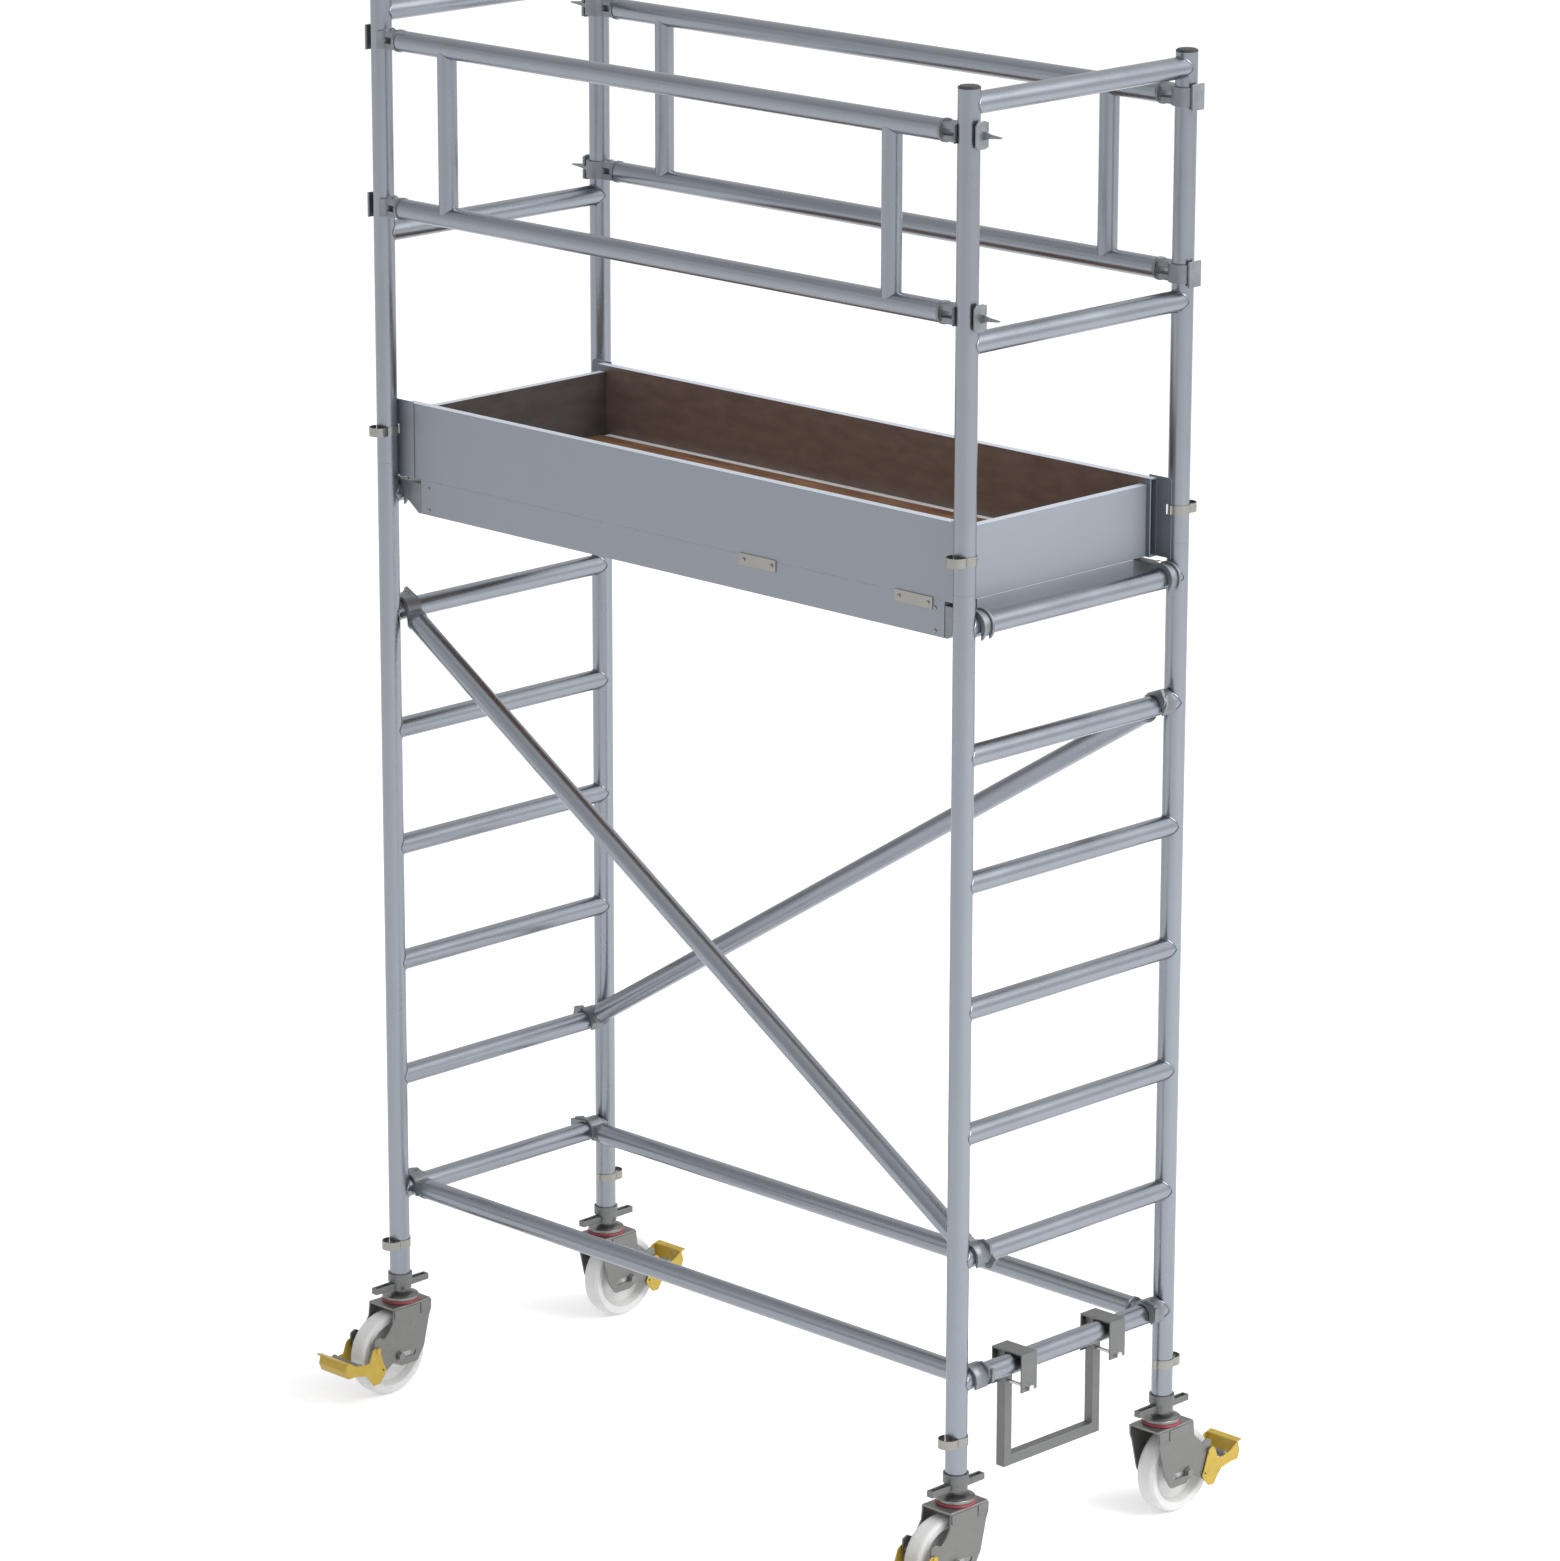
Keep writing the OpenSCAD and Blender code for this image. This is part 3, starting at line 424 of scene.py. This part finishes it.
def rounded(node, width, segments=2, shortest=5 * MM, wide_edge=None, wide=0.0):
    """Stands for a CAD node with its long sharp edges rounded as on the real casting or sheet."""
    source = frame["nodes"][node]
    slot = next(key for key, look in LOOKS.items() if look == source.data.materials[0])
    work = bmesh.new()
    work.from_mesh(source.data)
    bmesh.ops.remove_doubles(work, verts=work.verts, dist=SAME_POINT)
    bmesh.ops.dissolve_limit(work, angle_limit=FLAT_ANGLE, verts=work.verts, edges=work.edges)
    passes = [(wide, WIDE_SEGMENTS, wide_edge)] if wide_edge else []
    passes.append((width, segments, None))
    for offset, steps, chosen in passes:
        sharp = [edge for edge in work.edges if len(edge.link_faces) == 2 and edge.calc_length() > shortest
                 and edge.calc_face_angle(0.0) > SHARP_ANGLE and (chosen is None or chosen(edge))]
        bmesh.ops.bevel(work, geom=sharp, offset=offset, segments=steps, profile=0.5, affect="EDGES",
                        clamp_overlap=False)
    mesh = bpy.data.meshes.new(f"rounded_{node}")
    work.to_mesh(mesh)
    work.free()
    piece = add_piece(f"rounded_{node}", mesh, slot, source["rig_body"])
    flatten = piece.modifiers.new("flat_faces", "WEIGHTED_NORMAL")
    flatten.keep_sharp = True
    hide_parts(node)
    return piece


def corner_place(corner):
    side_x, side_y = CORNERS[corner]
    return (Matrix.Translation((side_x * POST_X, side_y * POST_Y, 0))
            @ Matrix.Rotation(0.0 if side_y > 0 else pi, 4, "Z"))


# ---------- weld beads where the rungs meet the uprights ----------

BEAD_R, BEAD_RIPPLE = 1.7 * MM, 0.10
BEAD_STEPS, BEAD_SIDES, BEAD_RIPPLES = 96, 8, 24
BEAD_PATH_R = RUNG_R + 0.5 * MM


def weld_beads(name, side_x, heights):
    beads = Shape()
    for height in heights:
        for side_y in (-1, 1):
            path = []
            for step in range(BEAD_STEPS):
                angle = TURN * step / BEAD_STEPS
                across = RUNG_R * cos(angle)
                centre = Vector((side_x * POST_X + BEAD_PATH_R * cos(angle),
                                 side_y * (POST_Y - sqrt(POST_R ** 2 - across ** 2)),
                                 height + BEAD_PATH_R * sin(angle)))
                path.append((centre, Vector((cos(angle), 0, sin(angle)))))
            rings = []
            for step, (centre, outward) in enumerate(path):
                along = (path[(step + 1) % BEAD_STEPS][0] - path[step - 1][0]).normalized()
                sideways = along.cross(outward).normalized()
                swell = BEAD_R * (1 + BEAD_RIPPLE * sin(BEAD_RIPPLES * TURN * step / BEAD_STEPS))
                rings.append([centre + swell * (cos(TURN * k / BEAD_SIDES) * outward
                                                + sin(TURN * k / BEAD_SIDES) * sideways)
                              for k in range(BEAD_SIDES)])
            beads.grid(rings, closed=True)
    add_piece(name, beads.mesh(name), "aluminium_tube", "tower")


for side, side_x in (("left", -1), ("right", 1)):
    weld_beads(f"ladder_welds_{side}", side_x, RUNG_HEIGHTS)
    weld_beads(f"guard_welds_{side}", side_x, GUARD_RUNG_HEIGHTS)


# ---------- casters ----------

THREAD_R = 18 * MM
ROOT_R = THREAD_R - 2.2 * MM
PITCH = 8 * MM
DISC_TOP = FORK_TOP + 19 * MM
SPINDLE_PROFILE = [(0, spindle_low.z), (19 * MM, spindle_low.z), (20 * MM, spindle_low.z + 1 * MM),
                   (20 * MM, spindle_low.z + 5 * MM), (12 * MM, spindle_low.z + 5 * MM),
                   (12 * MM, FORK_TOP + 7.3 * MM), (42 * MM, FORK_TOP + 7.3 * MM),
                   (43 * MM, FORK_TOP + 8.3 * MM),
                   (43 * MM, DISC_TOP - 5 * MM), (42 * MM, DISC_TOP - 4 * MM), (39 * MM, DISC_TOP - 4 * MM),
                   (37 * MM, DISC_TOP - 2.8 * MM), (28 * MM, DISC_TOP), (20 * MM, DISC_TOP),
                   (ROOT_R + 2 * MM, DISC_TOP + 0.5 * MM), (ROOT_R, DISC_TOP + 2.5 * MM),
                   (ROOT_R, spindle_high.z - 1 * MM), (ROOT_R - 1 * MM, spindle_high.z),
                   (0, spindle_high.z)]


def threaded_spindle(corner):
    """Kingpin, bearing disc and core turned in one, with a real right-hand thread wound on the core."""
    place = corner_place(corner)
    shape = Shape()
    shape.lathe(SPINDLE_PROFILE, place)
    low, high = DISC_TOP + 4 * MM, spindle_high.z - 5 * MM
    turns, per_turn = (high - low) / PITCH, 40
    steps = int(turns * per_turn)
    rings = []
    for step in range(steps + 1):
        angle = TURN * step / per_turn
        height = low + PITCH * step / per_turn
        ends = min(1.0, step / per_turn, (steps - step) / per_turn)
        crest = ROOT_R + (THREAD_R - ROOT_R) * ends
        rings.append([(r * cos(angle), r * sin(angle), height + z) for r, z in
                      ((ROOT_R - 0.3 * MM, -3.2 * MM), (crest, -0.9 * MM), (crest, 0.9 * MM),
                       (ROOT_R - 0.3 * MM, 3.2 * MM))])
    shape.grid(rings, place)
    name = f"threaded_spindle_{corner}"
    piece = add_piece(name, shape.mesh(name), "zinc_plated_steel", f"spindle_{corner}")
    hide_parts(f"spindle_{corner}")


def seal_lip(corner):
    """Red dust seal under the bearing disc: a soft ring with two lips."""
    profile = [(30, 0.3), (42, 0.3), (44, 0.9), (44.6, 2.0), (43.6, 3.2),
               (43.6, 4.0), (44.4, 5.0), (43.6, 6.4), (42, 7.0), (30, 7.0)]
    shape = Shape()
    shape.lathe([(r * MM, FORK_TOP + z * MM) for r, z in profile], corner_place(corner))
    name = f"seal_lip_{corner}"
    piece = add_piece(name, shape.mesh(name), "red_seal", frame["nodes"][f"seal_ring_{corner}"]["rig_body"])
    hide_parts(f"seal_ring_{corner}")


PEDAL_BAR = Vector((0, 174 * MM, AXLE_Z + 4 * MM))
PEDAL_INSIDE = 45.2 * MM
ACROSS = Matrix.Rotation(pi / 2, 4, "Y")


def pedal_sleeve(corner):
    """Grey roller on the cross bar between the two cheeks of the pedal."""
    shape = Shape()
    half = PEDAL_INSIDE - 0.8 * MM
    profile = [(7 * MM, -half), (10 * MM, -half), (10.6 * MM, -half + 0.6 * MM),
               (10.6 * MM, -half + 3 * MM), (8.8 * MM, -half + 4 * MM), (8.6 * MM, 0)]
    profile += [(r, -z) for r, z in reversed(profile[:-1])]
    shape.lathe(profile, corner_place(corner) @ Matrix.Translation(PEDAL_BAR) @ ACROSS, around=40)
    name = f"pedal_sleeve_{corner}"
    add_piece(name, shape.mesh(name), "fork_steel", f"pedal_{corner}")


# Outlines on the cheek, and the rings over them as (inset, height off the cheek), in mm
FLANGES = [[(-21, -4), (59, -4), (59, -26), (56, -29), (-18, -29), (-21, -26)],
           [(-57, -4), (-24, -4), (-24, -28), (-27, -31), (-52, -31), (-55, -27)]]
FLANGE_RINGS = ((0.0, -0.5), (0.0, 1.6), (0.8, 2.2))


def fork_flange(corner):
    """Folded lips of the fork head, lapped over each cheek on both sides of a relief slit."""
    shape = Shape()
    half = (fork_high.x - fork_low.x) / 2
    for side in (-1, 1):
        for outline in FLANGES:
            middle = sum((Vector(point) for point in outline), Vector((0, 0))) / len(outline)
            rings = []
            for inset, out in FLANGE_RINGS:
                ring = []
                for point in outline:
                    towards = Vector(point) - middle
                    y, z = middle + towards * (1 - inset / towards.length)
                    ring.append((side * (half + out * MM), y * MM, FORK_TOP + z * MM))
                rings.append(ring)
            shape.grid(rings, corner_place(corner))
    name = f"fork_flange_{corner}"
    add_piece(name, shape.mesh(name), "fork_steel", f"swivel_{corner}")


def fork_bend(edge):
    """The two long edges where the fork head turns down into the cheeks."""
    close, long_enough = 0.1 * MM, 90 * MM
    ends = [vertex.co for vertex in edge.verts]
    return (abs(ends[0].z - FORK_TOP) < close and abs(ends[1].z - FORK_TOP) < close
            and abs(ends[0].x - ends[1].x) < close and edge.calc_length() > long_enough)


for corner in CORNERS:
    threaded_spindle(corner)
    seal_lip(corner)
    pedal_sleeve(corner)
    fork_flange(corner)
    rounded(f"fork_{corner}", 0.7 * MM, wide_edge=fork_bend, wide=5 * MM)
    rounded(f"pedal_{corner}", 0.7 * MM)
    rounded(f"wing_nut_{corner}", 1.2 * MM)


# ---------- castings, sheet and boards with their edges broken ----------

for latch in LATCHES:
    rounded(latch, 1.2 * MM)
rounded("guardrail_claws", 1.2 * MM, shortest=8 * MM)
rounded("brace_claws", 1.2 * MM, shortest=8 * MM)
rounded("platform_claws", 1.5 * MM, shortest=8 * MM)
rounded("platform_side_rails", 1.0 * MM)
rounded("side_toe_boards", 0.8 * MM, shortest=20 * MM)
rounded("end_toe_boards", 0.8 * MM, shortest=20 * MM)
rounded("toe_board_brackets", 0.5 * MM, shortest=15 * MM)
rounded("deck_board", 0.8 * MM)
rounded("hatch", 0.8 * MM)
rounded("step_frame", 2.5 * MM, segments=3, shortest=15 * MM)
rounded("step_hooks", 0.8 * MM, shortest=15 * MM)


# ---------- small parts of the claws and clips ----------

CLAW_WALL, BRACE_INSET = 7.5 * MM, 50 * MM
RING_R = RUNG_R + CLAW_WALL
BRACE_Y = POST_Y - BRACE_INSET
BRACE_LOW_Z, BRACE_TOP_Z = RUNG_HEIGHTS[1], RUNG_HEIGHTS[5]
BRACE_TILT = atan2(BRACE_TOP_Z - BRACE_LOW_Z, 2 * POST_X)
FIN_THICK, FIN_PROUD, FIN_ROOT_R = 7.5 * MM, 0.4 * MM, RUNG_R + 1.2 * MM
FIN = [(8 * MM, RING_R - 2 * MM), (-43 * MM, 24 * MM), (-41 * MM, -5 * MM), (1 * MM - RING_R, -14 * MM)]


def reach(angle, outline):
    """How far a ray from the centre goes before it meets the outline."""
    found = 0.0
    for (x0, z0), (x1, z1) in zip(outline, outline[1:]):
        dx, dz = x1 - x0, z1 - z0
        across = sin(angle) * dx - cos(angle) * dz
        if abs(across) > 1e-9 and -1e-6 <= (cos(angle) * z0 - sin(angle) * x0) / across <= 1 + 1e-6:
            found = max(found, (z0 * dx - x0 * dz) / across)
    return found


def claw_fins():
    """Thumb fin on the inboard flank of every claw of the base tubes and diagonals."""
    fins = Shape()
    corners = [atan2(z, x) % TURN for x, z in FIN]
    angles = sorted(corners + [corners[0] + (corners[-1] - corners[0]) * k / 20 for k in range(1, 20)])
    near, far = brace_high.y - BRACE_Y - FIN_THICK, brace_high.y - BRACE_Y + FIN_PROUD
    claws = [(-1, RUNG_HEIGHTS[0], 0.0), (1, RUNG_HEIGHTS[0], 0.0), (-1, BRACE_TOP_Z, BRACE_TILT),
             (1, BRACE_LOW_Z, -BRACE_TILT)]
    for side_x, height, lean in claws:
        rings = []
        for angle in angles:
            ring = []
            for r, y in ((FIN_ROOT_R, near), (reach(angle, FIN), near),
                         (reach(angle, FIN), far), (FIN_ROOT_R, far)):
                ring.append((-side_x * r * cos(angle - lean), y, r * sin(angle - lean)))
            rings.append(ring)
        for turned in (0.0, pi):
            fins.grid(rings, Matrix.Rotation(turned, 4, "Z")
                      @ Matrix.Translation((side_x * POST_X, -BRACE_Y, height)))
    add_piece("claw_fins", fins.mesh("claw_fins"), "cast_aluminium", "tower")


RIM_R, RIM_STEPS = 36 * MM, 48
RIM_DEPTHS = (27.5 * MM, 3 * MM)
BUTTON = [(0, -3), (7, -3), (7, 1.5), (6, 3.4), (4, 4.8), (2, 5.5), (0, 5.7)]
BUTTON_INBOARD, BUTTON_DEPTH = 18 * MM, 15 * MM


def hook_flanges():
    """Raised rims on both faces of every platform claw, and the domed button on its back."""
    rims, buttons = Shape(), Shape()
    low, high = radians(-48), radians(228)
    for side_x in (-1, 1):
        for side_y in (-1, 1):
            for depth in RIM_DEPTHS:
                y = hook_high.y - depth
                rings = []
                for step in range(RIM_STEPS + 1):
                    angle = low + (high - low) * step / RIM_STEPS
                    inner = (RUNG_R + 0.5 * MM) / (abs(cos(angle)) if sin(angle) < 0 else 1.0)
                    ring = []
                    for r, out in ((inner, 3.4), (RIM_R - 1 * MM, 3.4), (RIM_R, 2.4), (RIM_R, -2.4),
                                   (RIM_R - 1 * MM, -3.4), (inner, -3.4)):
                        ring.append((side_x * POST_X + r * cos(angle), side_y * (y + out * MM),
                                     RUNG_HEIGHTS[-1] + r * sin(angle)))
                    rings.append(ring)
                rims.grid(rings)
            place = Matrix.Translation((side_x * (POST_X - BUTTON_INBOARD),
                                        side_y * (hook_high.y - BUTTON_DEPTH), hook_high.z))
            buttons.lathe([(r * MM, z * MM) for r, z in BUTTON], place, around=32)
    add_piece("claw_flanges", rims.mesh("claw_flanges"), "cast_aluminium", "tower")
    add_piece("claw_buttons", buttons.mesh("claw_buttons"), "bright_bolt", "tower")


CLIP_HALF = 10 * MM
CLIP_HEIGHTS = (clip_low.z + CLIP_HALF, clip_high.z - CLIP_HALF)
BAND_STEPS, LOOP_STEPS = 24, 40
PIN_R, PIN_DROP = 4 * MM, 2.1 * MM
PIN = [(0, 0), (PIN_R, 0), (PIN_R, 24 * MM), (PIN_R - 1 * MM, 25 * MM), (0, 25 * MM)]


def sprung_clips():
    """Spring clips: a flat band half round the upright, its finger loop, turned-out end and pin."""
    clips = Shape()
    band_r, loop_r, loop_y, thick = POST_R + 1.3 * MM, 22 * MM, 25 * MM, 0.9 * MM
    cross_y = (loop_y ** 2 + band_r ** 2 - loop_r ** 2) / (2 * loop_y)
    cross_x = sqrt(band_r ** 2 - cross_y ** 2)
    start, bend = radians(-80), atan2(cross_y, cross_x)
    path = [((band_r + 6 * MM) * cos(start - 0.10), (band_r + 6 * MM) * sin(start - 0.10))]
    for k in range(BAND_STEPS):
        angle = start + (bend - start) * k / BAND_STEPS
        path.append((band_r * cos(angle), band_r * sin(angle)))
    first = atan2(cross_y - loop_y, cross_x)
    for k in range(LOOP_STEPS + 1):
        angle = first + (pi - 2 * first) * k / LOOP_STEPS
        path.append((loop_r * cos(angle), loop_y + loop_r * sin(angle)))
    for corner, (_, side_y) in CORNERS.items():
        for height in CLIP_HEIGHTS:
            place = corner_place(corner) @ Matrix.Translation((0, 0, height))
            rings = []
            for step, point in enumerate(path):
                before, after = path[max(step - 1, 0)], path[min(step + 1, len(path) - 1)]
                along = Vector((after[0] - before[0], after[1] - before[1])).normalized()
                x, y = point
                rings.append([(side_y * (x + along.y * out), y - along.x * out, z) for out, z in
                              ((-thick, -CLIP_HALF), (thick, -CLIP_HALF),
                               (thick, CLIP_HALF), (-thick, CLIP_HALF))])
            clips.grid(rings, place)
            pin_place = (place @ Matrix.Translation((0, POST_R - PIN_DROP, 0))
                         @ Matrix.Rotation(-pi / 2, 4, "X"))
            clips.lathe(PIN, pin_place, around=24)
    piece = add_piece("sprung_clips", clips.mesh("sprung_clips"), "stainless_steel",
                      frame["nodes"]["spring_clips"]["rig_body"])
    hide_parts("spring_clips")


claw_fins()
hook_flanges()
sprung_clips()


# ---------- floor, light, camera ----------

def make_floor():
    shape = Shape()
    half, under = 90.0, -0.02
    shape.grid([[(-half, -half, z), (half, -half, z), (half, half, z), (-half, half, z)]
                for z in (under, 0)])
    finish = Finish("look_floor")
    cloud = finish.noise(0.6, detail=4.0)
    finish.shade(base_color=finish.mix(cloud, (0.84, 0.84, 0.85), (0.87, 0.87, 0.88)), roughness=0.9,
                 emission_color=(1.0, 1.0, 1.0, 1.0), emission_strength=0.28)
    mesh = shape.mesh("floor")
    mesh.materials.append(finish.material)
    floor = bpy.data.objects.new("floor", mesh)
    bpy.context.scene.collection.objects.link(floor)


def make_world():
    """Bright surroundings without a picture, brightest towards +X, +Y and overhead."""
    world = bpy.data.worlds.new("studio")
    world.use_nodes = True
    tree = world.node_tree
    coordinates = tree.nodes.new("ShaderNodeTexCoord")
    towards = tree.nodes.new("ShaderNodeVectorMath")
    towards.operation = "DOT_PRODUCT"
    towards.inputs[1].default_value = Vector((0.65, 0.58, 0.50)).normalized()
    ramp = tree.nodes.new("ShaderNodeMapRange")
    for socket, number in zip(ramp.inputs[1:5], (-1.0, 1.0, 0.42, 1.12)):
        socket.default_value = number
    tree.links.new(coordinates.outputs["Generated"], towards.inputs[0])
    tree.links.new(towards.outputs["Value"], ramp.inputs[0])
    background = tree.nodes["Background"]
    background.inputs["Color"].default_value = (1.0, 1.0, 1.0, 1)
    tree.links.new(ramp.outputs[0], background.inputs["Strength"])
    bpy.context.scene.world = world


def soft_light(name, place, target, size, power):
    lamp = bpy.data.lights.new(name, "AREA")
    lamp.shape = "SQUARE"
    lamp.size = size
    lamp.energy = power
    light = bpy.data.objects.new(name, lamp)
    light.location = place
    light.rotation_euler = (Vector(target) - Vector(place)).to_track_quat("-Z", "Y").to_euler()
    bpy.context.scene.collection.objects.link(light)


def make_camera():
    azimuth, elevation, roll = radians(45.317), radians(15.559), radians(-0.091)
    back = Vector((sin(azimuth) * cos(elevation), -cos(azimuth) * cos(elevation), sin(elevation)))
    level = Vector((0, 0, 1)).cross(back).normalized()
    above = back.cross(level)
    right = cos(roll) * level + sin(roll) * above
    up = -sin(roll) * level + cos(roll) * above
    lens = bpy.data.cameras.new("camera")
    lens.lens = 146.77
    lens.sensor_width = 36.0
    lens.shift_x = 0.0487
    lens.shift_y = 0.0031
    lens.clip_end = 400.0
    camera = bpy.data.objects.new("camera", lens)
    place = Matrix((right, up, back)).transposed().to_4x4()
    place.translation = (9.685, -9.792, 5.426)
    camera.matrix_world = place
    bpy.context.scene.collection.objects.link(camera)
    bpy.context.scene.camera = camera


make_floor()
make_world()
soft_light("key", (7.5, 2.5, 8.5), (0, 0, 1.6), 7.0, 850.0)
soft_light("fill", (-6.0, -8.0, 5.0), (0, 0, 1.4), 6.0, 50.0)
make_camera()
bpy.context.scene.view_settings.view_transform = "Standard"
